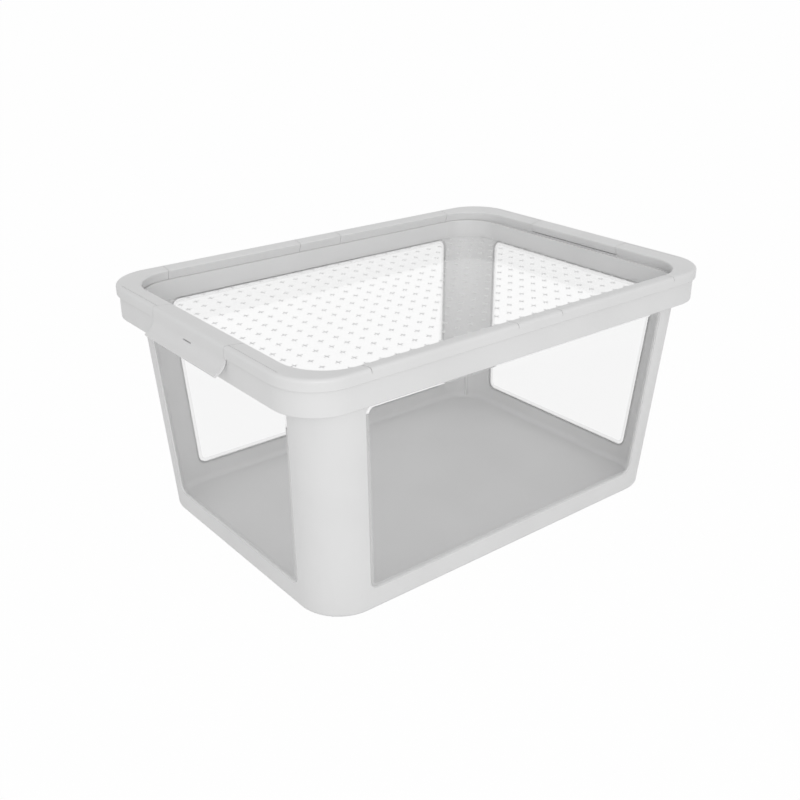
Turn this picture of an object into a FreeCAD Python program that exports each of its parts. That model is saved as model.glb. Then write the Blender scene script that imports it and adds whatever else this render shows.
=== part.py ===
import FreeCAD, Part
import math
import os

import Sketcher
from FreeCAD import Placement, Rotation, Vector

# Storage box with a lift-off lid: an opaque frame with four clear windows, a lid ring with a sunk tray
# whose floor is a clear panel, and a clip hinged to each end of the ring. Millimetres, +Z up, +X along
# the long side. The origin is the middle of the underside.

SIZES = [
    # Tub of the box frame
    ("base_half_x", 242.2, "half length of the tub at its underside"),
    ("base_half_y", 169.8, "half width of the tub at its underside"),
    ("tub_high", 233.0, "height of the tub, where the collar steps out"),
    ("wall_lean", 3.47, "outward lean of all four walls, degrees"),
    ("tub_corner", 48.0, "plan radius of the tub's corners"),
    ("wall", 2.4, "thickness of the walls"),
    ("floor", 2.6, "thickness of the floor"),
    ("base_round", 4.0, "radius round the underside"),
    ("floor_round", 7.0, "radius between the floor and the walls inside"),
    ("rib_radius", 2.3, "radius of the rib in each inside corner"),
    ("rib_high", 60.0, "top of those ribs"),
    # Collar round the mouth of the box
    ("step_x", 19.87, "how far the collar steps out at the short sides"),
    ("step_y", 8.27, "how far the collar steps out at the long sides"),
    ("collar_tall", 29.4, "height of the collar"),
    ("collar_corner", 47.2, "plan radius of the collar's corners"),
    ("collar_round", 1.2, "radius along the collar's lower edge"),
    ("ledge", 2.4, "thickness of the ledge between wall and collar"),
    # Windows, measured along the leaning walls
    ("pillar_long", 51.1, "width of the corner pillars on the long sides"),
    ("pillar_short_low", 51.0, "width of the corner pillars on the short sides, at the sill"),
    ("pillar_short_high", 49.6, "width of the corner pillars on the short sides, at the top"),
    ("window_low", 25.3, "lower edge of the windows"),
    ("window_head", 1.83, "distance of a window's upper edge from the collar"),
    ("window_corner", 10.0, "radius of a window's corners"),
    ("pane_gap", 0.1, "gap between a pane and its opening"),
    ("pane_inset", 0.3, "depth of a pane's face behind the wall's face"),
    ("pane_border", 4.4, "width of the bevel round a pane"),
    ("pane_bevel", 0.7, "depth of that bevel"),
    ("pane_flange", 1.6, "overlap of a pane's flange inside the wall"),
    ("flange_depth", 1.2, "thickness of that flange"),
    # Lid ring
    ("lip_gap", 0.5, "gap between the collar and what comes down over it"),
    ("lip_wall", 2.3, "thickness of the lip and of the clips"),
    ("lip_lap", 4.1, "how far the lip comes down over the collar"),
    ("lip_edge", 0.7, "radius along the lip's lower edge"),
    ("lid_rise", 7.6, "height of the lid above the collar"),
    ("ring_round", 3.5, "radius along the lid's upper edge"),
    ("crest", 5.0, "distance of the crest from the lid's edge"),
    ("ring_wide_x", 23.0, "width of the ring at the short sides"),
    ("ring_wide_y", 17.0, "width of the ring at the long sides"),
    ("inner_corner", 48.0, "plan radius of the recess at its brim"),
    ("brim_drop", 2.0, "fall from the crest to the recess's brim"),
    ("brim_round", 1.5, "radius along the brim"),
    ("undercut", 4.0, "how much wider the recess is under its brim, each side"),
    ("shelf_drop", 3.6, "fall from the lip's lower edge to the shelf that carries the tray"),
    ("shelf_thick", 2.0, "thickness of that shelf"),
    ("roof", 4.4, "thickness of the ring over its channel"),
    ("leg_thick", 5.0, "thickness of the ring's inner leg at its foot"),
    ("web", 3.0, "thickness of the webs that rest on the collar"),
    ("seam_near", 30.2, "distance of the middle seams and webs from the centre"),
    ("seam_inset", 73.0, "distance of the outer seams and webs from the lid's end"),
    ("seam_wide", 0.8, "width of a seam"),
    ("seam_deep", 0.5, "depth of a seam"),
    ("crease_inset", 5.5, "distance of the crease on the short sides from the lid's end"),
    ("crease_stop", 43.0, "distance of that crease's end from the lid's side"),
    # Sunk tray of the lid: a wall under the ring, and the panel at its foot
    ("tray_gap", 0.6, "gap between the tray and the walls of the box"),
    ("tray_wall", 2.0, "thickness of the tray's wall"),
    ("rim_tall", 2.0, "height of that wall's rim above the shelf"),
    ("groove_tall", 3.0, "height of the groove along the foot of that wall"),
    ("groove_deep", 0.8, "depth of that groove"),
    ("panel_sink", 0.5, "depth of the panel's face below the ledge of the box"),
    ("panel_thick", 1.6, "thickness of the panel"),
    # Clips
    ("clip_half", 70.0, "half width of a clip"),
    ("clip_gap", 0.6, "gap at each end of a clip"),
    ("pivot_drop", 8.6, "fall from the brim to a clip's hinge"),
    ("knuckle", 2.0, "radius of a clip's hinge edge"),
    ("heel_gap", 0.5, "gap between that hinge edge and the ring under it"),
    ("trunnion", 1.2, "radius of the pins at a clip's ends"),
    ("trunnion_long", 3.6, "length of those pins"),
    ("running_fit", 0.06, "clearance round those pins"),
    ("saddle_clear", 0.5, "gap between a clip and the saddle under it"),
    ("swing_gap", 1.5, "gap between a clip's face and that saddle, for the swing"),
    ("flare_reach", 11.0, "how far a clip's lip stands out from the lid"),
    ("flare_drop", 8.3, "fall from the lip to where a clip's face would meet its flare if sharp"),
    ("flare_slope", 30.0, "fall of the flare below level, degrees"),
    ("flare_round", 13.0, "radius between a clip's face and its flare"),
    ("lip_round", 0.9, "radius along the edge of a clip's lip"),
    ("slot_half", 8.0, "half width of the slot in a clip"),
    ("slot_rise", 4.4, "height of that slot above the flare"),
    ("slot_tall", 1.6, "height of the slot's opening"),
]

# Sizes and places that follow from those on the sheet
FOLLOWING = {
    "rise": "tan(wall_lean * 1 deg)",
    "shift": "sin(wall_lean * 1 deg)",
    "collar_half_x": "base_half_x + tub_high * rise + step_x",
    "collar_half_y": "base_half_y + tub_high * rise + step_y",
    "collar_high": "tub_high + collar_tall",
    "window_high": "tub_high / cos(wall_lean * 1 deg) - window_head",
    "long_low_half": "base_half_x + window_low * shift - pillar_long",
    "long_high_half": "base_half_x + window_high * shift - pillar_long",
    "short_low_half": "base_half_y + window_low * shift - pillar_short_low",
    "short_high_half": "base_half_y + window_high * shift - pillar_short_high",
    "ring_half_x": "collar_half_x + lip_gap + lip_wall",
    "ring_half_y": "collar_half_y + lip_gap + lip_wall",
    "ring_corner": "collar_corner + lip_gap + lip_wall",
    "lip_low": "collar_high - lip_lap",
    "lid_high": "collar_high + lid_rise",
    "brim": "lid_high - brim_drop",
    "shelf": "lip_low - shelf_drop",
    "under": "undercut / (brim - shelf)",
    "leg": "undercut + leg_thick",
    "channel_high": "lid_high - roof",
    "inner_half_x": "ring_half_x - ring_wide_x",
    "inner_half_y": "ring_half_y - ring_wide_y",
    "panel_high": "tub_high + ledge - panel_sink",
    "tray_out_x": "base_half_x + (panel_high - panel_thick) * rise - wall - tray_gap",
    "tray_out_y": "base_half_y + (panel_high - panel_thick) * rise - wall - tray_gap",
    "tray_corner": "tub_corner - wall - tray_gap",
    "seam_far": "ring_half_x - seam_inset",
    "seam_low": "shelf + rim_tall + seam_deep",
    "seam_foot_y": "inner_half_y + (brim - seam_low) * under + 2 * seam_deep",
    "crease_x": "ring_half_x - crease_inset",
    "crease_end": "ring_half_y - crease_stop",
    "pivot_x": "inner_half_x + pivot_drop * under + knuckle",
    "pivot_z": "brim - pivot_drop",
    "heel": "pivot_z - knuckle - heel_gap",
    "saddle_high": "brim - lip_wall - saddle_clear",
    "fall": "tan(flare_slope * 1 deg)",
    "flare_high": "lip_low - flare_drop",
    "lip_loss": "lip_round * (sin(flare_slope * 1 deg) + cos(flare_slope * 1 deg) - 1)",
    "tip_x": "ring_half_x + flare_reach + lip_loss",
    "tip_z": "flare_high - (tip_x - ring_half_x) * fall",
    "flare_back_z": "flare_high + lip_wall * fall - lip_wall / cos(flare_slope * 1 deg)",
    "slot_z": "flare_high + slot_rise",
}

WORDS = {alias for alias, _, _ in SIZES}
NEAR = 1e-4  # Points closer than this are the same point, mm
LEAST_CHANGE = 1e-3  # Smallest change of volume that counts as a change, mm3

doc = FreeCAD.newDocument("storage_box")
sheet = doc.addObject("Spreadsheet::Sheet", "sizes")
for row, (alias, value, meaning) in enumerate(SIZES, start=1):
    sheet.set(f"A{row}", meaning)
    sheet.set(f"B{row}", str(value))
    sheet.setAlias(f"B{row}", alias)
doc.recompute()


def sized(text):
    """The same expression with every size named as on the sheet, and what follows from them written out."""
    out, word = [], ""
    for letter in text + " ":
        if letter.isalnum() or letter == "_":
            word += letter
            continue
        if word in FOLLOWING:
            word = f"({sized(FOLLOWING[word])})"
        out.append(f"sizes.{word}" if word in WORDS else word)
        out.append(letter)
        word = ""
    return "".join(out).strip()


def value_of(text):
    """Value of an expression of sizes, as a plain number."""
    result = sheet.evalExpression(sized(text))
    return float(getattr(result, "Value", result))


def new_body(label):
    """Empty body that becomes one node."""
    body = doc.addObject("PartDesign::Body", label)
    body.Label = label
    return body


def plane_of(body, role):
    """One of the body's own origin planes, named by its role."""
    return next(item for item in body.Origin.OriginFeatures if item.Role == role)


def new_sketch(body, name, role, height="0", lean=None):
    """Sketch on one of the body's own planes, moved out by height and leaned about its X axis."""
    sketch = body.newObject("Sketcher::SketchObject", name)
    sketch.AttachmentSupport = [(plane_of(body, role), "")]
    sketch.MapMode = "FlatFace"
    if lean:
        sketch.AttachmentOffset = Placement(Vector(0, 0, 0), Rotation(Vector(1, 0, 0), 1.0))
        sketch.setExpression("AttachmentOffset.Rotation.Angle", sized(lean))
    sketch.setExpression("AttachmentOffset.Base.z", sized(height))
    return sketch


def drive(sketch, kind, first, first_end, second, second_end, expression):
    """Distance between two points that follows an expression and is kept positive."""
    number = value_of(expression)
    if number < 0:
        first, first_end, second, second_end = second, second_end, first, first_end
        expression = f"-({expression})"
        number = -number
    index = sketch.addConstraint(Sketcher.Constraint(kind, first, first_end, second, second_end, number))
    sketch.setExpression(f"Constraints[{index}]", sized(expression))


def rounded_outline(sketch, points, radius):
    """Four lines towards given corner points, joined by four equal arcs that are tangent to them."""
    bend = value_of(radius)
    corners = [Vector(x, y, 0) for x, y in points]
    lines, arcs = [], []
    cut = []
    for k in range(4):
        before, here, after = corners[k - 1], corners[k], corners[(k + 1) % 4]
        back, ahead = (before - here).normalize(), (after - here).normalize()
        half_angle = back.getAngle(ahead) / 2
        run = bend / math.tan(half_angle)
        reach = bend / math.sin(half_angle)
        centre = here + (back + ahead).normalize() * reach
        middle = centre + (here - centre).normalize() * bend
        cut.append((here + back * run, middle, here + ahead * run))
    for k in range(4):
        lines.append(sketch.addGeometry(Part.LineSegment(cut[k][2], cut[(k + 1) % 4][0])))
    for k in range(4):
        arcs.append(sketch.addGeometry(Part.Arc(*cut[k])))
    for k in range(4):
        start_end = 1 if sketch.Geometry[arcs[k]].StartPoint.distanceToPoint(cut[k][0]) < NEAR else 2
        sketch.addConstraint(Sketcher.Constraint("Tangent", lines[k - 1], 2, arcs[k], start_end))
        sketch.addConstraint(Sketcher.Constraint("Tangent", arcs[k], 3 - start_end, lines[k], 1))
    for k in (1, 2, 3):
        sketch.addConstraint(Sketcher.Constraint("Equal", arcs[0], arcs[k]))
    index = sketch.addConstraint(Sketcher.Constraint("Radius", arcs[0], bend))
    sketch.setExpression(f"Constraints[{index}]", sized(radius))
    return lines, arcs


def rectangle(sketch, half_x, half_y, radius):
    """Rounded rectangle about the sketch's origin."""
    a, b = value_of(half_x), value_of(half_y)
    lines, arcs = rounded_outline(sketch, [(-a, -b), (a, -b), (a, b), (-a, b)], radius)
    for k in (0, 2):
        sketch.addConstraint(Sketcher.Constraint("Horizontal", lines[k]))
        sketch.addConstraint(Sketcher.Constraint("Vertical", lines[k + 1]))
    sketch.addConstraint(Sketcher.Constraint("Symmetric", arcs[0], 3, arcs[2], 3, -1, 1))
    drive(sketch, "DistanceX", -1, 1, lines[1], 1, half_x)
    drive(sketch, "DistanceY", -1, 1, lines[2], 1, half_y)


def trapezium(sketch, low_half, high_half, low, high, radius):
    """Rounded trapezium that is symmetric about the sketch's vertical axis."""
    a, b = value_of(low_half), value_of(high_half)
    c, d = value_of(low), value_of(high)
    lines, _ = rounded_outline(sketch, [(-a, c), (a, c), (b, d), (-b, d)], radius)
    side = f"atan(({high_half} - ({low_half})) / ({high} - ({low})))"
    low_flat = f"{low_half} - ({radius}) * tan(45 deg - {side} / 2)"
    high_flat = f"{high_half} - ({radius}) * tan(45 deg + {side} / 2)"
    sketch.addConstraint(Sketcher.Constraint("Horizontal", lines[0]))
    sketch.addConstraint(Sketcher.Constraint("Horizontal", lines[2]))
    drive(sketch, "DistanceY", -1, 1, lines[0], 1, low)
    drive(sketch, "DistanceY", -1, 1, lines[2], 1, high)
    drive(sketch, "DistanceX", -1, 1, lines[0], 2, low_flat)
    drive(sketch, "DistanceX", lines[0], 1, -1, 1, low_flat)
    drive(sketch, "DistanceX", -1, 1, lines[2], 1, high_flat)
    drive(sketch, "DistanceX", lines[2], 2, -1, 1, high_flat)


def polygon(sketch, points):
    """Closed polygon whose corners follow pairs of expressions."""
    numbers = [Vector(value_of(x), value_of(y), 0) for x, y in points]
    count = len(points)
    lines = [sketch.addGeometry(Part.LineSegment(numbers[k], numbers[(k + 1) % count])) for k in range(count)]
    for k in range(count):
        sketch.addConstraint(Sketcher.Constraint("Coincident", lines[k - 1], 2, lines[k], 1))
    for k, (x, y) in enumerate(points):
        drive(sketch, "DistanceX", -1, 1, lines[k], 1, x)
        drive(sketch, "DistanceY", -1, 1, lines[k], 1, y)


def circle(sketch, x, y, radius):
    """Circle whose centre and radius follow expressions."""
    number = value_of(radius)
    centre = Vector(value_of(x), value_of(y), 0)
    item = sketch.addGeometry(Part.Circle(centre, Vector(0, 0, 1), number))
    drive(sketch, "DistanceX", -1, 1, item, 3, x)
    drive(sketch, "DistanceY", -1, 1, item, 3, y)
    index = sketch.addConstraint(Sketcher.Constraint("Radius", item, number))
    sketch.setExpression(f"Constraints[{index}]", sized(radius))


def extrude(body, kind, sketch, length, reverse=False, midplane=False):
    """Pad or pocket of a sketch; the change of volume is checked."""
    before = body.Shape.Volume if body.Tip else 0.0
    feature = body.newObject(f"PartDesign::{kind}", f"{sketch.Name}_{kind.lower()}")
    feature.Profile = sketch
    feature.setExpression("Length", sized(length))
    feature.Reversed = reverse
    feature.Midplane = midplane
    settle(body, feature, before, kind == "Pad")
    return feature


def loft(body, kind, name, sections):
    """Ruled loft from the upper section to the lower one; the change of volume is checked."""
    before = body.Shape.Volume if body.Tip else 0.0
    feature = body.newObject(f"PartDesign::{kind}", name)
    feature.Profile = sections[0]
    feature.Sections = sections[1:]
    feature.Ruled = True
    settle(body, feature, before, kind == "AdditiveLoft")
    return feature


def mirror(body, name, originals, role):
    """Features repeated across one of the body's planes."""
    before = body.Shape.Volume
    feature = body.newObject("PartDesign::Mirrored", name)
    feature.Originals = originals
    feature.MirrorPlane = (plane_of(body, role), [""])
    body.Tip = feature
    doc.recompute()
    if abs(body.Shape.Volume - before) < LEAST_CHANGE:
        raise RuntimeError(f"{name} changes nothing")
    return feature


def settle(body, feature, before, adds):
    """Make a feature the body's last one, and check that it adds or takes away as it should."""
    for sketch in (item for item in body.Group if item.TypeId == "Sketcher::SketchObject"):
        sketch.Visibility = False
    body.Tip = feature
    doc.recompute()
    change = body.Shape.Volume - before
    if (change > 0) != adds or abs(change) < LEAST_CHANGE:
        raise RuntimeError(f"{feature.Name} changes the volume by {change}")


def round_edges(body, name, radius, wanted):
    """Fillet of the edges of the body's last feature that a test picks out."""
    tip = body.Tip
    names = [f"Edge{k}" for k, edge in enumerate(tip.Shape.Edges, start=1) if wanted(edge)]
    if not names:
        raise RuntimeError(f"{name} finds no edge")
    feature = body.newObject("PartDesign::Fillet", name)
    feature.Base = (tip, names)
    feature.setExpression("Radius", sized(radius))
    body.Tip = feature
    doc.recompute()
    if not feature.Shape.isValid():
        raise RuntimeError(f"{name} fails")
    return feature


def at_height(z, beyond_x=0.0, beyond_y=0.0, tolerance=0.01):
    """Test for an edge that lies level at a height, and outside a rectangle where one is given."""
    def test(edge):
        box = edge.BoundBox
        outside = max(-box.XMin, box.XMax) > beyond_x or max(-box.YMin, box.YMax) > beyond_y
        return box.ZLength < tolerance and abs(box.ZMin - z) < tolerance and outside
    return test


def at_line(x, z, tolerance=0.02):
    """Test for a straight edge along Y at a place in the XZ plane."""
    def test(edge):
        box = edge.BoundBox
        level = box.XLength < tolerance and box.ZLength < tolerance
        return level and abs(box.Center.x - x) < tolerance and abs(box.Center.z - z) < tolerance
    return test


def box_points(low_x, high_x, low_y, high_y):
    """Corners of a rectangle, in order."""
    return [(low_x, low_y), (high_x, low_y), (high_x, high_y), (low_x, high_y)]


def turn(body, turned):
    """Half a turn about the upright axis, for the piece at the opposite side."""
    body.Placement = Placement(Vector(0, 0, 0), Rotation(Vector(0, 0, 1), 180 if turned else 0))


def level(body, name, height, stem, corner, grow="0"):
    """Sketch at a height, of a rounded rectangle whose half sizes share a stem, made larger by grow."""
    sketch = new_sketch(body, name, "XY_Plane", height)
    rectangle(sketch, f"{stem}_x + ({grow})", f"{stem}_y + ({grow})", f"{corner} + ({grow})")
    return sketch


def tub_section(body, name, height, inset, radius):
    """Plan of the tub at a height, moved in from its outer faces."""
    sketch = new_sketch(body, name, "XY_Plane", height)
    rectangle(sketch, f"base_half_x + ({height}) * rise - ({inset})",
              f"base_half_y + ({height}) * rise - ({inset})", radius)
    return sketch


def window_sketch(body, name, long_side, grow, depth="0"):
    """Outline of a window on the outer face of its wall, made larger by grow and set in by depth."""
    role, half = ("XZ_Plane", "base_half_y") if long_side else ("YZ_Plane", "base_half_x")
    low, high = ("long_low_half", "long_high_half") if long_side else ("short_low_half", "short_high_half")
    sketch = new_sketch(body, name, role, f"{half} - ({depth}) / cos(wall_lean * 1 deg)", "wall_lean * 1 deg")
    trapezium(sketch, f"{low} + ({grow})", f"{high} + ({grow})", f"window_low - ({grow})",
              f"window_high + ({grow})", f"window_corner + ({grow})")
    return sketch


def build_frame():
    """Floor, pillars, sills and collar of the box in one piece."""
    body = new_body("box_frame")
    high = tub_section(body, "tub_top", "tub_high", "0", "tub_corner")
    low = tub_section(body, "tub_foot", "0", "0", "tub_corner")
    loft(body, "AdditiveLoft", "tub", [high, low])
    round_edges(body, "underside_round", "base_round", at_height(0.0))
    collar = level(body, "collar_outline", "tub_high", "collar_half", "collar_corner")
    extrude(body, "Pad", collar, "collar_tall")
    between_x = value_of("collar_half_x - step_x / 2")
    between_y = value_of("collar_half_y - step_y / 2")
    outer_edge = at_height(value_of("tub_high"), between_x, between_y)
    round_edges(body, "collar_edge_round", "collar_round", outer_edge)
    inner_high = tub_section(body, "hollow_top", "tub_high + ledge", "wall", "tub_corner - wall")
    inner_low = tub_section(body, "hollow_foot", "floor", "wall", "tub_corner - wall")
    loft(body, "SubtractiveLoft", "hollow", [inner_high, inner_low])
    mouth = level(body, "mouth_outline", "collar_high", "collar_half", "collar_corner", "-wall")
    extrude(body, "Pocket", mouth, "collar_tall - ledge")
    round_edges(body, "floor_edge_round", "floor_round", at_height(value_of("floor")))

    # Ribs on the diagonals of the inside corners
    diagonal = "wall + (tub_corner - wall) * (1 - cos(45 deg))"
    for k, (hand, side) in enumerate((("", ""), ("-", ""), ("-", "-"), ("", "-"))):
        sections = []
        for name, height in ((f"rib_top_{k}", "rib_high"), (f"rib_foot_{k}", "floor / 2")):
            sketch = new_sketch(body, name, "XY_Plane", height)
            circle(sketch, f"{hand}(base_half_x + ({height}) * rise - ({diagonal}))",
                   f"{side}(base_half_y + ({height}) * rise - ({diagonal}))", "rib_radius")
            sections.append(sketch)
        loft(body, "AdditiveLoft", f"corner_rib_{k}", sections)
    for name, long_side, role in (("long_window", True, "XZ_Plane"), ("short_window", False, "YZ_Plane")):
        opening = extrude(body, "Pocket", window_sketch(body, name, long_side, "0"), "2 * wall")
        mirror(body, f"{name}_opposite", [opening], role)
    return body


def build_window(label, long_side, turned):
    """Clear pane with a bevelled face, and a flange that laps the wall from inside."""
    body = new_body(label)
    depth = "wall * cos(wall_lean * 1 deg)"
    extrude(body, "Pad", window_sketch(body, f"{label}_fill", long_side, "-pane_gap", "pane_inset"),
            f"{depth} - pane_inset", reverse=True)
    extrude(body, "Pad", window_sketch(body, f"{label}_flange", long_side, "pane_flange", depth),
            "flange_depth", reverse=True)
    rim = window_sketch(body, f"{label}_bevel_rim", long_side, "-pane_gap", "pane_inset")
    field = window_sketch(body, f"{label}_bevel_field", long_side, "-pane_gap - pane_border",
                          "pane_inset + pane_bevel")
    loft(body, "SubtractiveLoft", f"{label}_bevel", [rim, field])
    turn(body, turned)
    return body


def build_ring():
    """Opaque ring of the lid, hollow underneath, with the wall of its sunk tray and room for the clips."""
    body = new_body("lid_ring")
    block = level(body, "ring_outline", "lip_low", "ring_half", "ring_corner")
    extrude(body, "Pad", block, "lid_high - lip_low")
    round_edges(body, "ring_edge_round", "ring_round", at_height(value_of("lid_high")))
    round_edges(body, "lip_edge_round", "lip_edge", at_height(value_of("lip_low")))
    channel = level(body, "channel_outline", "lip_low", "ring_half", "ring_corner", "-lip_wall")
    rectangle(channel, "inner_half_x + leg", "inner_half_y + leg", "inner_corner + leg")
    extrude(body, "Pocket", channel, "channel_high - lip_low", reverse=True)
    neck = level(body, "neck_outline", "lip_low", "inner_half", "inner_corner", "leg")
    extrude(body, "Pad", neck, "shelf_drop + shelf_thick", reverse=True)
    tray = level(body, "tray_outline", "shelf - shelf_thick", "tray_out", "tray_corner")
    extrude(body, "Pad", tray, "shelf - shelf_thick - panel_high", reverse=True)

    # Slope inside the crest, and the recess under its brim
    crest = level(body, "crest_outline", "lid_high", "ring_half", "ring_corner", "-crest")
    slope_foot = level(body, "slope_foot", "brim", "inner_half", "inner_corner")
    loft(body, "SubtractiveLoft", "ring_slope", [crest, slope_foot])
    recess_brim = level(body, "recess_brim", "brim", "inner_half", "inner_corner")
    recess_foot = level(body, "recess_foot", "shelf", "inner_half", "inner_corner", "undercut")
    loft(body, "SubtractiveLoft", "recess", [recess_brim, recess_foot])
    round_edges(body, "brim_edge_round", "brim_round", at_height(value_of("brim")))

    # Rim, well and foot of the tray's wall
    rim = level(body, "rim_outline", "shelf", "tray_out", "tray_corner")
    extrude(body, "Pad", rim, "rim_tall")
    well = level(body, "well_outline", "shelf + rim_tall", "tray_out", "tray_corner", "-tray_wall")
    extrude(body, "Pocket", well, "shelf + rim_tall - panel_high + tray_wall")
    groove = level(body, "groove_outline", "panel_high + groove_tall", "tray_out", "tray_corner",
                   "groove_deep - tray_wall")
    extrude(body, "Pocket", groove, "2 * groove_tall")
    add_rests(body)
    cut_clip_room(body)
    cut_seams(body)
    return body


def add_rests(body):
    """Webs across the ring's channel, and the saddles under the clips, which rest on the collar."""
    sketch = new_sketch(body, "rest_outlines", "XY_Plane", "collar_high")
    for side in ("", "-"):
        for seam in ("seam_near", "seam_far", "-seam_near", "-seam_far"):
            polygon(sketch, box_points(f"{seam} - web / 2", f"{seam} + web / 2",
                                       f"{side}(inner_half_y + leg - leg_thick / 2)",
                                       f"{side}(ring_half_y - lip_wall / 2)"))
        polygon(sketch, box_points(f"{side}(inner_half_x + leg - leg_thick / 2)",
                                   f"{side}(ring_half_x - lip_wall / 2)",
                                   "-(clip_half + clip_gap + web)", "clip_half + clip_gap + web"))
    extrude(body, "Pad", sketch, "channel_high - collar_high + roof / 10")


def cut_clip_room(body):
    """Openings for the clips through the ring, with blind bores for their pins."""
    room = new_sketch(body, "clip_room", "XZ_Plane")
    for hand in ("", "-"):
        heel_x = f"{hand}(pivot_x + knuckle + saddle_clear)"
        face_x = f"{hand}(ring_half_x - lip_wall - swing_gap)"
        inner_x, outer_x = f"{hand}(inner_half_x - web)", f"{hand}(ring_half_x + web)"
        polygon(room, [(inner_x, "heel"), (heel_x, "heel"), (heel_x, "saddle_high"), (face_x, "saddle_high"),
                       (face_x, "lip_low - web"), (outer_x, "lip_low - web"), (outer_x, "lid_high + web"),
                       (inner_x, "lid_high + web")])
    extrude(body, "Pocket", room, "2 * (clip_half + clip_gap)", midplane=True)
    bores = new_sketch(body, "pin_bores", "XZ_Plane")
    for hand in ("", "-"):
        circle(bores, f"{hand}pivot_x", "pivot_z", "trunnion + running_fit")
    extrude(body, "Pocket", bores, "2 * (clip_half + clip_gap + trunnion_long)", midplane=True)


def cut_seams(body):
    """Fine seams over the long sides, and the crease along the short ones."""
    for name, place in (("seam_a", "seam_near"), ("seam_b", "-seam_near"), ("seam_c", "seam_far"),
                        ("seam_d", "-seam_far")):
        sketch = new_sketch(body, name, "YZ_Plane", place)
        for side in ("", "-"):
            polygon(sketch, [
                (f"{side}seam_foot_y", "seam_low"),
                (f"{side}(inner_half_y + 2 * seam_deep)", "brim - seam_deep"),
                (f"{side}(ring_half_y - crest)", "lid_high - seam_deep"),
                (f"{side}(ring_half_y - seam_deep)", "lid_high - ring_round"),
                (f"{side}(ring_half_y - seam_deep)", "lid_high - crest"),
                (f"{side}(ring_half_y + web)", "lid_high - crest"),
                (f"{side}(ring_half_y + web)", "lid_high + web"),
                (f"{side}(inner_half_y - web)", "lid_high + web"),
                (f"{side}(inner_half_y - web)", "seam_low")])
        extrude(body, "Pocket", sketch, "seam_wide", midplane=True)
    sketch = new_sketch(body, "creases", "XY_Plane", "lid_high")
    for hand in ("", "-"):
        for side in ("", "-"):
            polygon(sketch, box_points(f"{hand}crease_x - seam_wide / 2", f"{hand}crease_x + seam_wide / 2",
                                       f"{side}clip_half", f"{side}crease_end"))
    extrude(body, "Pocket", sketch, "seam_deep")


def build_panel():
    """Clear panel bonded under the foot of the tray's wall."""
    body = new_body("lid_panel")
    sketch = level(body, "panel_outline", "panel_high", "tray_out", "tray_corner")
    extrude(body, "Pad", sketch, "panel_thick", reverse=True)
    return body


def build_clip(label, turned):
    """Clip that hooks over the ring, with a hinge edge at its inner end and a flared lip."""
    body = new_body(label)
    profile = new_sketch(body, f"{label}_profile", "XZ_Plane")
    polygon(profile, [
        ("pivot_x - knuckle", "pivot_z"),
        ("inner_half_x", "brim"),
        ("ring_half_x - crest", "lid_high"),
        ("ring_half_x", "lid_high"),
        ("ring_half_x", "flare_high"),
        ("tip_x", "tip_z"),
        ("tip_x - lip_wall * sin(flare_slope * 1 deg)", "tip_z - lip_wall * cos(flare_slope * 1 deg)"),
        ("ring_half_x - lip_wall", "flare_back_z"),
        ("ring_half_x - lip_wall", "lid_high - lip_wall"),
        ("ring_half_x - crest", "lid_high - lip_wall"),
        ("pivot_x + knuckle", "brim - lip_wall"),
        ("pivot_x + knuckle", "pivot_z")])
    extrude(body, "Pad", profile, "2 * clip_half", midplane=True)
    for name, radius, x, z in (
            ("shoulder", "ring_round", "ring_half_x", "lid_high"),
            ("flare", "flare_round", "ring_half_x", "flare_high"),
            ("flare_back", "flare_round + lip_wall", "ring_half_x - lip_wall", "flare_back_z"),
            ("brim", "brim_round", "inner_half_x", "brim"),
            ("lip", "lip_round", "tip_x", "tip_z")):
        round_edges(body, f"{label}_{name}_round", radius, at_line(value_of(x), value_of(z)))
    for name, radius, length in (("knuckle", "knuckle", "2 * clip_half"),
                                 ("pins", "trunnion", "2 * (clip_half + trunnion_long)")):
        sketch = new_sketch(body, f"{label}_{name}", "XZ_Plane")
        circle(sketch, "pivot_x", "pivot_z", radius)
        extrude(body, "Pad", sketch, length, midplane=True)
    slot = new_sketch(body, f"{label}_slot", "YZ_Plane", "tip_x")
    polygon(slot, box_points("-slot_half", "slot_half", "slot_z - slot_tall / 2", "slot_z + slot_tall / 2"))
    extrude(body, "Pocket", slot, "tip_x - ring_half_x + 2 * lip_wall")
    turn(body, turned)
    return body


nodes = [
    build_frame(),
    build_window("front_window", long_side=True, turned=False),
    build_window("back_window", long_side=True, turned=True),
    build_window("right_window", long_side=False, turned=False),
    build_window("left_window", long_side=False, turned=True),
    build_ring(),
    build_panel(),
    build_clip("right_clip", turned=False),
    build_clip("left_clip", turned=True),
]
doc.recompute()

for item in doc.Objects:
    if "Invalid" in item.State or "Error" in item.State:
        raise RuntimeError(f"{item.Name} is {item.State}")
os.makedirs("parts", exist_ok=True)
for node in nodes:
    shape = node.Shape
    if shape.isNull() or not shape.isValid() or len(shape.Solids) != 1:
        raise RuntimeError(f"{node.Label} is not one sound solid")
    shape.exportStep(f"parts/{node.Label}.step")
    box = shape.optimalBoundingBox()
    print(f"{node.Label}: {box.XMin:.2f} {box.XMax:.2f}, {box.YMin:.2f} {box.YMax:.2f}, "
          f"{box.ZMin:.2f} {box.ZMax:.2f}, {shape.Volume / 1000:.1f} cm3")
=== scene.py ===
"""Looks of a storage box with a lift-off lid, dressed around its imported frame.

The box is a white moulding with four clear panes. Its lid is a white ring that holds a sunk clear panel
with small crosses, and has a hinged clip at each end. Lengths are in metres, and names that end in _mm are
in millimetres.
"""
from __future__ import annotations

import logging
import math
from dataclasses import dataclass
from enum import Enum, IntEnum
from typing import Any

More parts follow.
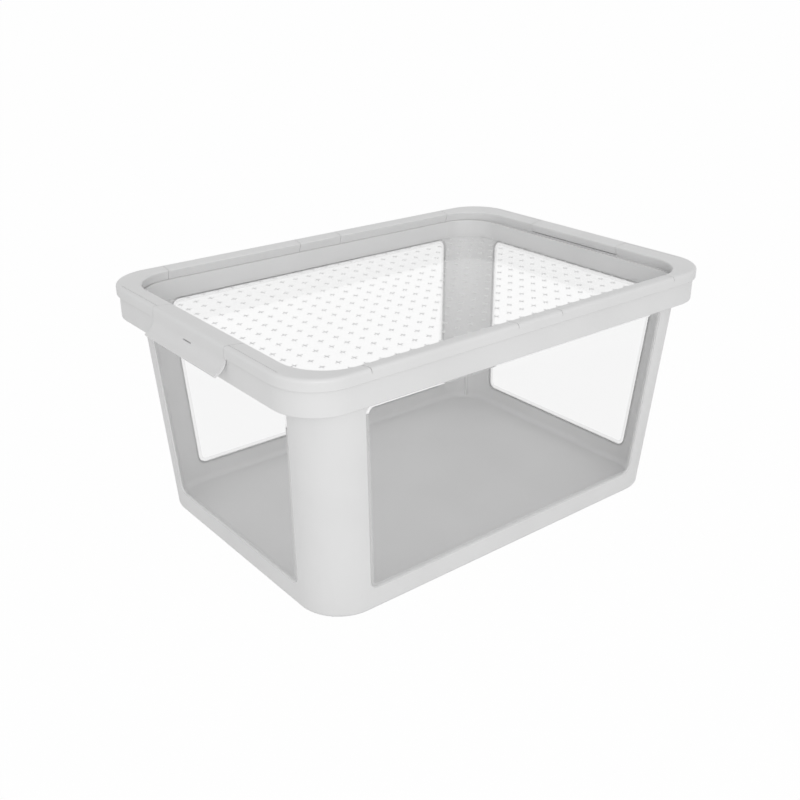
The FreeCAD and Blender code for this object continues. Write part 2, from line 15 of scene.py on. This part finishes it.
import bmesh
import bpy
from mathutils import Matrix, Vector

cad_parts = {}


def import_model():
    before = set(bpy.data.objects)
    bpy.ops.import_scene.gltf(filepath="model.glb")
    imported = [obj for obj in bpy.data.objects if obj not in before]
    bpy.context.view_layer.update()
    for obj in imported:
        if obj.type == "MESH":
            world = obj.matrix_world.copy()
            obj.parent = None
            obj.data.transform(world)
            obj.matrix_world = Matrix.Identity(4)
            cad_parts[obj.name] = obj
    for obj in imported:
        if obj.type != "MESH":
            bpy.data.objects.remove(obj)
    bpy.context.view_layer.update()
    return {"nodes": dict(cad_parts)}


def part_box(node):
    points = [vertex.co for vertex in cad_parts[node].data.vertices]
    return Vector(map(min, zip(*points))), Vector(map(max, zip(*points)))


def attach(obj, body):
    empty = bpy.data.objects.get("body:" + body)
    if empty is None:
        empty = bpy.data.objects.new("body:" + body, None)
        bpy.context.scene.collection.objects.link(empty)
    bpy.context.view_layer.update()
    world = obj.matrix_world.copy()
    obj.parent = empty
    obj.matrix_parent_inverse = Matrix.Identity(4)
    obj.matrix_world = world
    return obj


LOG = logging.getLogger("storage_box")
MM = 0.001
UP = Vector((0, 0, 1))
NOISE_SPAN = (0.3, 0.7)  # values between which most of the noise lies
NOISE_DETAIL = 3.0


class Body(Enum):
    """Bodies that added pieces ride on."""

    LID = "lid"


class Slot(Enum):
    """Names for material slots of added pieces; no piece here uses them."""

    FROSTED = "frosted_plastic"


class Skin(IntEnum):
    """Order of a clear sheet's materials in its mesh."""

    CLEAR = 0
    MATT = 1
    SATIN = 2


def linear(hex_colour: str) -> tuple[float, float, float, float]:
    """Turn an sRGB hex colour into a linear one.

    Args:
        hex_colour: Six hex digits, red first.

    Returns:
        Linear red, green, blue and an alpha of 1.
    """
    parts = [int(hex_colour[k:k + 2], 16) / 255 for k in (0, 2, 4)]
    red, green, blue = (p / 12.92 if p <= 0.04045 else ((p + 0.055) / 1.055) ** 2.4 for p in parts)
    return red, green, blue, 1.0


def add_node(
    tree: bpy.types.NodeTree,
    kind: str,
    values: dict[str | int, Any] | None = None,
    links: dict[str | int, bpy.types.NodeSocket] | None = None,
    **settings: Any,
) -> bpy.types.Node:
    """Add a node with its settings and links.

    Args:
        tree: Node tree that gets the node.
        kind: Type of the node, without its ShaderNode prefix.
        values: Values of the node's own sockets, by name or number.
        links: Sockets that feed the node's inputs, by the input's name or number.
        settings: Properties of the node.

    Returns:
        The new node.
    """
    node = tree.nodes.new(f"ShaderNode{kind}")
    for name, value in settings.items():
        setattr(node, name, value)
    for key, value in (values or {}).items():
        node.inputs[key].default_value = value
    for key, socket in (links or {}).items():
        tree.links.new(socket, node.inputs[key])
    return node


@dataclass(frozen=True)
class Finish:
    """Procedural material of one plastic.

    Attributes:
        name: Name of the material, for the plastic and how its surface was made.
        ior: Index of refraction; a clear sheet has a low one, so that it mirrors little of the studio.
    """

    name: str
    ior: float

    def material(self) -> bpy.types.Material:
        """Make the material.

        Returns:
            A node material with this finish's surface.
        """
        material = bpy.data.materials.new(self.name)
        material.use_nodes = True
        tree = material.node_tree
        tree.nodes.clear()
        place = add_node(tree, "TexCoord").outputs["Object"]
        add_node(tree, "OutputMaterial", links={"Surface": self.surface(tree, place)})
        return material

    def surface(self, tree: bpy.types.NodeTree, place: bpy.types.NodeSocket) -> bpy.types.NodeSocket:
        """Add the nodes of the surface.

        Args:
            tree: Node tree that gets the nodes.
            place: Object coordinates.

        Returns:
            The shader that the surface shows.
        """
        raise NotImplementedError

    def noise(
        self, tree: bpy.types.NodeTree, place: bpy.types.NodeSocket, size_mm: float, low: float, high: float
    ) -> bpy.types.NodeSocket:
        """Add a soft random pattern.

        Args:
            tree: Node tree that gets the nodes.
            place: Object coordinates.
            size_mm: Size of the pattern's spots.
            low: Lowest value that the pattern gives.
            high: Highest value that it gives.

        Returns:
            The pattern's value.
        """
        values = {"Scale": 1 / (size_mm * MM), "Detail": NOISE_DETAIL}
        cloud = add_node(tree, "TexNoise", values, {"Vector": place})
        least, most = NOISE_SPAN
        values = {"From Min": least, "From Max": most, "To Min": low, "To Max": high}
        return add_node(tree, "MapRange", values, {"Value": cloud.outputs[0]}).outputs["Result"]


# Plastic moulded against a spark-eroded tool: even white, with a soft sheen and a very fine grain.
@dataclass(frozen=True)
class SatinPlastic(Finish):
    """Opaque white plastic with a satin skin.

    Attributes:
        colour: Colour of the plastic.
        shade: Colour where the moulding flowed and cooled more slowly.
        flow_mm: Size of those areas.
        grain_mm: Size of the tool's grain, drawn several times too coarse so that it shows.
        grain_deep_mm: Depth of the grain.
        gloss: Lowest and highest roughness.
        gloss_mm: Size of the spots where the roughness differs.
    """

    colour: str
    shade: str
    flow_mm: float
    grain_mm: float
    grain_deep_mm: float
    gloss: tuple[float, float]
    gloss_mm: float

    def surface(self, tree: bpy.types.NodeTree, place: bpy.types.NodeSocket) -> bpy.types.NodeSocket:
        """Add the nodes of the satin skin.

        Args:
            tree: Node tree that gets the nodes.
            place: Object coordinates.

        Returns:
            The shader that the surface shows.
        """
        flow = self.noise(tree, place, self.flow_mm, 0.0, 1.0)
        colours = {"Color1": linear(self.colour), "Color2": linear(self.shade)}
        tint = add_node(tree, "MixRGB", colours, {"Fac": flow})
        grain = self.noise(tree, place, self.grain_mm, 0.0, 1.0)
        values = {"Strength": 1.0, "Distance": self.grain_deep_mm * MM}
        bump = add_node(tree, "Bump", values, {"Height": grain})
        links = {
            "Base Color": tint.outputs["Color"],
            "Roughness": self.noise(tree, place, self.gloss_mm, *self.gloss),
            "Normal": bump.outputs["Normal"],
        }
        return add_node(tree, "BsdfPrincipled", {"IOR": self.ior}, links).outputs["BSDF"]


# Polystyrene moulded against steel: clear, with a breath of grey over what is behind it. Polished steel
# leaves it sharp to look through, and a blasted tool gives it a fine haze.
@dataclass(frozen=True)
class ClearStyrene(Finish):
    """Clear plastic, polished, lightly frosted or satin.

    Attributes:
        tint: Colour that what is seen through a pane gets.
        lamp_tint: Colour of direct lamp light after each face of a pane.
        sky_tint: Colour of light from all round after each face of a pane.
        haze: Lowest and highest roughness.
        haze_mm: Size of the spots where the roughness differs.
        clear: Share of the light that goes through, the rest lights up the skin.
    """

    tint: str
    lamp_tint: str
    sky_tint: str
    haze: tuple[float, float]
    haze_mm: float
    clear: float = 1.0

    def surface(self, tree: bpy.types.NodeTree, place: bpy.types.NodeSocket) -> bpy.types.NodeSocket:
        """Add the nodes of the clear plastic.

        Args:
            tree: Node tree that gets the nodes.
            place: Object coordinates.

        Returns:
            The shader that the surface shows.
        """
        values = {"Base Color": linear(self.tint), "IOR": self.ior, "Transmission Weight": self.clear}
        haze = self.noise(tree, place, self.haze_mm, *self.haze)
        glass = add_node(tree, "BsdfPrincipled", values, {"Roughness": haze})
        # Light from the lamp and the sky goes straight through, so that the inside is lit
        rays = add_node(tree, "LightPath").outputs
        tints = {"Color1": linear(self.lamp_tint), "Color2": linear(self.sky_tint)}
        passed = add_node(tree, "MixRGB", tints, {"Fac": rays["Is Diffuse Ray"]})
        clear = add_node(tree, "BsdfTransparent", links={"Color": passed.outputs["Color"]})
        lit = {0: rays["Is Shadow Ray"], 1: rays["Is Diffuse Ray"]}
        share = add_node(tree, "Math", links=lit, operation="MAXIMUM")
        shaders = {0: share.outputs[0], 1: glass.outputs["BSDF"], 2: clear.outputs["BSDF"]}
        return add_node(tree, "MixShader", links=shaders).outputs["Shader"]


@dataclass(frozen=True)
class Finishes:
    """The plastics of the object."""

    # Frame, ring and clips: an even soft sheen with no sharp reflection.
    white: SatinPlastic = SatinPlastic(
        name="satin_white_polypropylene", ior=1.49, colour="E0E0E0", shade="DCDCDC", flow_mm=90.0,
        grain_mm=1.4, grain_deep_mm=0.006, gloss=(0.42, 0.5), gloss_mm=30.0)
    # Raised crosses and edges of the clear sheets: they scatter the light and look milky.
    matt: SatinPlastic = SatinPlastic(
        name="matt_textured_polystyrene", ior=1.59, colour="EAEAEA", shade="E6E6E6", flow_mm=60.0,
        grain_mm=0.8, grain_deep_mm=0.02, gloss=(0.6, 0.7), gloss_mm=20.0)
    # Panes: colourless and sharp to look through.
    clear: ClearStyrene = ClearStyrene(
        name="polished_clear_polystyrene", ior=1.12, tint="FBFBFB", lamp_tint="C4C4C4", sky_tint="FFFFFF",
        haze=(0.0, 0.02), haze_mm=60.0)
    # Bevels of the panes: a faint light frame round what is seen through them.
    bevel: ClearStyrene = ClearStyrene(
        name="satin_clear_polystyrene", ior=1.12, tint="F8F8F8", lamp_tint="D0D0D0", sky_tint="FFFFFF",
        haze=(0.02, 0.06), haze_mm=40.0, clear=0.8)
    # Panel of the lid: what is behind it is a little soft.
    lid: ClearStyrene = ClearStyrene(
        name="lightly_frosted_polystyrene", ior=1.15, tint="FFFFFF", lamp_tint="FFFFFF", sky_tint="FFFFFF",
        haze=(0.05, 0.08), haze_mm=40.0)


def dress(piece: bpy.types.Object, *materials: bpy.types.Material) -> None:
    """Give a piece its materials, and report it.

    Args:
        piece: Piece that gets the materials.
        materials: The materials, with the one that most of the piece has first.
    """
    piece.data.materials.clear()
    for material in materials:
        piece.data.materials.append(material)
    LOG.info("%s has %s", piece.name, ", ".join(material.name for material in materials))


def lean(face: bpy.types.MeshPolygon, flat: Vector) -> float:
    """Measure how far a face leans from the flat of its sheet.

    Args:
        face: Face of the sheet.
        flat: Normal of the flat, on either side.

    Returns:
        The angle between them in degrees, from 0 to 90.
    """
    return math.degrees(math.acos(min(abs(face.normal.dot(flat)), 1.0)))


@dataclass
class Mouldings:
    """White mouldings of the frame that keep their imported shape.

    Attributes:
        names: Names of the nodes.
    """

    names: tuple[str, ...] = ("box_frame", "lid_ring", "left_clip", "right_clip")

    def dress(self, nodes: dict[str, bpy.types.Object], satin: bpy.types.Material) -> None:
        """Give the mouldings their satin skin.

        Args:
            nodes: Nodes of the frame, by name.
            satin: Material of the mouldings.
        """
        for name in self.names:
            dress(nodes[name], satin)


@dataclass
class Windows:
    """Clear panes in the four walls of the box, each with a satin bevel and matt edges.

    Attributes:
        names: Names of the nodes.
        bevel_lean: Least angle between a bevel and the flat of its pane, in degrees.
        edge_lean: Least angle between an edge and the flat of its pane, in degrees.
    """

    names: tuple[str, ...] = ("front_window", "back_window", "left_window", "right_window")
    bevel_lean: float = 5.0
    edge_lean: float = 45.0

    def dress(
        self,
        nodes: dict[str, bpy.types.Object],
        clear: bpy.types.Material,
        satin: bpy.types.Material,
        matt: bpy.types.Material,
    ) -> None:
        """Make the panes clear, their bevels satin and their edges matt.

        Args:
            nodes: Nodes of the frame, by name.
            clear: Material of the panes.
            satin: Material of the bevels.
            matt: Material of the edges.
        """
        for name in self.names:
            dress(nodes[name], clear, matt, satin)
            faces = nodes[name].data.polygons
            flat = max(faces, key=lambda face: face.area).normal.copy()
            for face in faces:
                face.material_index = self.skin(lean(face, flat))

    def skin(self, angle: float) -> Skin:
        """Choose the skin of a face.

        Args:
            angle: Angle between the face and the flat of its pane, in degrees.

        Returns:
            Matt for an edge, satin for a bevel, and clear for the rest.
        """
        if angle > self.edge_lean:
            return Skin.MATT
        return Skin.SATIN if angle > self.bevel_lean else Skin.CLEAR


@dataclass
class LidPanel:
    """Clear panel of the lid, with matt edges and a square grid of small raised crosses on its upper face.

    Attributes:
        node: Node of the panel.
        edge_lean: Least angle between an edge and the flat of the panel, in degrees.
        corner_mm: Plan radius of the panel's corners.
        edge_mm: Least distance of a cross's middle from the panel's edge.
        pitch_mm: Distance between neighbouring crosses.
        columns: Number of crosses along the long side.
        rows: Number of crosses along the short side.
        arm_mm: Length of an arm from the cross's middle.
        bar_mm: Width of an arm.
        high_mm: Height of a cross above the panel.
        sunk_mm: Depth of its foot in the panel.
    """

    node: str = "lid_panel"
    edge_lean: float = 45.0
    corner_mm: float = 45.0
    edge_mm: float = 7.0
    pitch_mm: float = 18.94
    columns: int = 27
    rows: int = 19
    arm_mm: float = 3.4
    bar_mm: float = 1.0
    high_mm: float = 0.3
    sunk_mm: float = 0.1

    def dress(
        self, nodes: dict[str, bpy.types.Object], clear: bpy.types.Material, matt: bpy.types.Material
    ) -> None:
        """Make the panel clear and its edges matt.

        Args:
            nodes: Nodes of the frame, by name.
            clear: Material of the panel.
            matt: Material of its edges.
        """
        dress(nodes[self.node], clear, matt)
        for face in nodes[self.node].data.polygons:
            face.material_index = Skin.MATT if lean(face, UP) > self.edge_lean else Skin.CLEAR

    def build(self, matt: bpy.types.Material) -> bpy.types.Object:
        """Model the crosses.

        Args:
            matt: Material of the crosses.

        Returns:
            The crosses in one piece, riding on the lid.
        """
        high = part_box(self.node)[1]
        work = bmesh.new()
        self.add_cross(work, high.z)
        cross = work.verts[:] + work.edges[:] + work.faces[:]
        for place in self.places(high):
            copy = bmesh.ops.duplicate(work, geom=cross)["geom"]
            verts = [item for item in copy if isinstance(item, bmesh.types.BMVert)]
            bmesh.ops.translate(work, verts=verts, vec=place)
        bmesh.ops.recalc_face_normals(work, faces=work.faces[:])
        mesh = bpy.data.meshes.new("panel_crosses")
        work.to_mesh(mesh)
        work.free()
        crosses = bpy.data.objects.new("panel_crosses", mesh)
        bpy.context.scene.collection.objects.link(crosses)
        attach(crosses, Body.LID.value)
        dress(crosses, matt)
        return crosses

    def add_cross(self, work: bmesh.types.BMesh, level: float) -> None:
        """Add the cross in the panel's middle.

        Args:
            work: Mesh that gets the cross.
            level: Height of the panel's upper face.
        """
        half = self.bar_mm * MM / 2
        square = bmesh.ops.create_grid(work, x_segments=1, y_segments=1, size=half)["verts"]
        bmesh.ops.translate(work, verts=square, vec=UP * (level - self.sunk_mm * MM))
        for side in list(work.edges):
            middle = (side.verts[0].co + side.verts[1].co) / 2
            outward = Vector((middle.x, middle.y, 0)).normalized()
            arm = bmesh.ops.extrude_edge_only(work, edges=[side])["geom"]
            verts = [item for item in arm if isinstance(item, bmesh.types.BMVert)]
            bmesh.ops.translate(work, verts=verts, vec=outward * (self.arm_mm * MM - half))
        raised = bmesh.ops.extrude_face_region(work, geom=work.faces[:])["geom"]
        verts = [item for item in raised if isinstance(item, bmesh.types.BMVert)]
        bmesh.ops.translate(work, verts=verts, vec=UP * (self.high_mm + self.sunk_mm) * MM)

    def places(self, high: Vector) -> list[Vector]:
        """List where the crosses stand, apart from the one in the middle.

        Args:
            high: Highest corner of the panel, whose middle is on the upright axis.

        Returns:
            The places on the grid that keep clear of the panel's rounded edge.
        """
        reach = (self.corner_mm - self.edge_mm) * MM
        flat = Vector((high.x - self.corner_mm * MM, high.y - self.corner_mm * MM))
        found = []
        for column in range(self.columns):
            for row in range(self.rows):
                step = Vector((column - (self.columns - 1) / 2, row - (self.rows - 1) / 2, 0))
                place = step * self.pitch_mm * MM
                past = Vector((max(abs(place.x) - flat.x, 0), max(abs(place.y) - flat.y, 0)))
                if step.length > 0 and past.length < reach:
                    found.append(place)
        return found


@dataclass
class Studio:
    """White floor, soft light and the camera.

    Attributes:
        eye: Place of the camera.
        target: Point that the camera looks at.
        lens_mm: Focal length on a sensor 36 mm wide.
        floor_half: Half width of the floor.
        floor_colour: Colour of the floor's paper.
        floor_white: Share of the floor that is plain white to the camera, the rest shows its shadow.
        sky: Strength of the light from all round.
        key_power: Power of the large lamp beside the camera, in watts.
        key_place: Place of that lamp.
        key_size: Width and height of that lamp.
    """

    eye: tuple[float, float, float] = (-0.68409, -0.82774, 0.59772)
    target: tuple[float, float, float] = (-0.01881, 0.0, 0.11934)
    lens_mm: float = 45.41
    floor_half: float = 20.0
    floor_colour: str = "E3E3E3"
    floor_white: float = 0.98
    sky: float = 0.72
    key_power: float = 28.0
    key_place: tuple[float, float, float] = (-1.47, -2.46, 0.99)
    key_size: tuple[float, float] = (2.0, 1.6)

    def build(self) -> None:
        """Set up the floor, the light and the camera."""
        scene = bpy.context.scene
        scene.view_settings.view_transform = "Standard"
        self.add_camera(scene)
        self.add_floor(scene)
        self.add_sky(scene)
        self.add_key(scene)

    def aim(self, item: bpy.types.Object, place: tuple[float, float, float]) -> None:
        """Put an object at a place and turn it to the target.

        Args:
            item: Camera or lamp.
            place: Where it goes.
        """
        item.location = place
        look = Vector(self.target) - Vector(place)
        item.rotation_euler = look.to_track_quat("-Z", "Y").to_euler()

    def add_camera(self, scene: bpy.types.Scene) -> None:
        """Add the camera and make it the scene's own.

        Args:
            scene: Scene that gets the camera.
        """
        data = bpy.data.cameras.new("camera")
        data.lens = self.lens_mm
        camera = bpy.data.objects.new("camera", data)
        scene.collection.objects.link(camera)
        self.aim(camera, self.eye)
        scene.camera = camera

    def seen(self, tree: bpy.types.NodeTree) -> bpy.types.NodeSocket:
        """Tell rays that show the background from rays that light the object.

        Args:
            tree: Node tree that gets the nodes.

        Returns:
            1 for camera, glossy and transmission rays, 0 for others.
        """
        rays = add_node(tree, "LightPath").outputs
        pair = {0: rays["Is Camera Ray"], 1: rays["Is Glossy Ray"]}
        first = add_node(tree, "Math", links=pair, operation="MAXIMUM").outputs[0]
        pair = {0: first, 1: rays["Is Transmission Ray"]}
        return add_node(tree, "Math", links=pair, operation="MAXIMUM").outputs[0]

    def add_floor(self, scene: bpy.types.Scene) -> None:
        """Add the white floor, which keeps a faint shadow.

        Args:
            scene: Scene that gets the floor.
        """
        work = bmesh.new()
        bmesh.ops.create_grid(work, x_segments=1, y_segments=1, size=self.floor_half)
        mesh = bpy.data.meshes.new("studio_floor")
        work.to_mesh(mesh)
        work.free()
        floor = bpy.data.objects.new("studio_floor", mesh)
        scene.collection.objects.link(floor)
        material = bpy.data.materials.new("white_paper_floor")
        material.use_nodes = True
        # The plain white that the camera sees lights nothing
        material.cycles.emission_sampling = "NONE"
        tree = material.node_tree
        tree.nodes.clear()
        paper = add_node(tree, "BsdfDiffuse", {"Color": linear(self.floor_colour)})
        white = add_node(tree, "Emission", {"Strength": 1.0})
        share = add_node(tree, "Math", {1: self.floor_white}, {0: self.seen(tree)}, operation="MULTIPLY")
        shaders = {0: share.outputs[0], 1: paper.outputs[0], 2: white.outputs[0]}
        mixed = add_node(tree, "MixShader", links=shaders)
        add_node(tree, "OutputMaterial", links={"Surface": mixed.outputs[0]})
        floor.data.materials.append(material)

    def add_sky(self, scene: bpy.types.Scene) -> None:
        """Light the object evenly from all round, in front of a white background.

        Args:
            scene: Scene that gets the world.
        """
        world = bpy.data.worlds.new("studio_sky")
        world.use_nodes = True
        scene.world = world
        tree = world.node_tree
        tree.nodes.clear()
        light = add_node(tree, "Background", {"Color": (1, 1, 1, 1), "Strength": self.sky})
        white = add_node(tree, "Background", {"Color": (1, 1, 1, 1), "Strength": 1.0})
        shaders = {0: self.seen(tree), 1: light.outputs[0], 2: white.outputs[0]}
        mixed = add_node(tree, "MixShader", links=shaders)
        add_node(tree, "OutputWorld", links={"Surface": mixed.outputs[0]})

    def add_key(self, scene: bpy.types.Scene) -> None:
        """Add the large soft lamp beside the camera.

        Args:
            scene: Scene that gets the lamp.
        """
        data = bpy.data.lights.new("key_lamp", "AREA")
        data.shape = "RECTANGLE"
        data.size, data.size_y = self.key_size
        data.energy = self.key_power
        lamp = bpy.data.objects.new("key_lamp", data)
        scene.collection.objects.link(lamp)
        self.aim(lamp, self.key_place)


def main() -> None:
    """Build and dress the sub-assemblies in order, and set up the studio."""
    logging.basicConfig(level=logging.INFO, format="%(name)s: %(message)s")
    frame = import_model()
    nodes = frame["nodes"]
    finishes = Finishes()
    Mouldings().dress(nodes, finishes.white.material())
    matt = finishes.matt.material()
    Windows().dress(nodes, finishes.clear.material(), finishes.bevel.material(), matt)
    panel = LidPanel()
    panel.dress(nodes, finishes.lid.material(), matt)
    panel.build(matt)
    Studio().build()


if __name__ == "__main__":
    main()
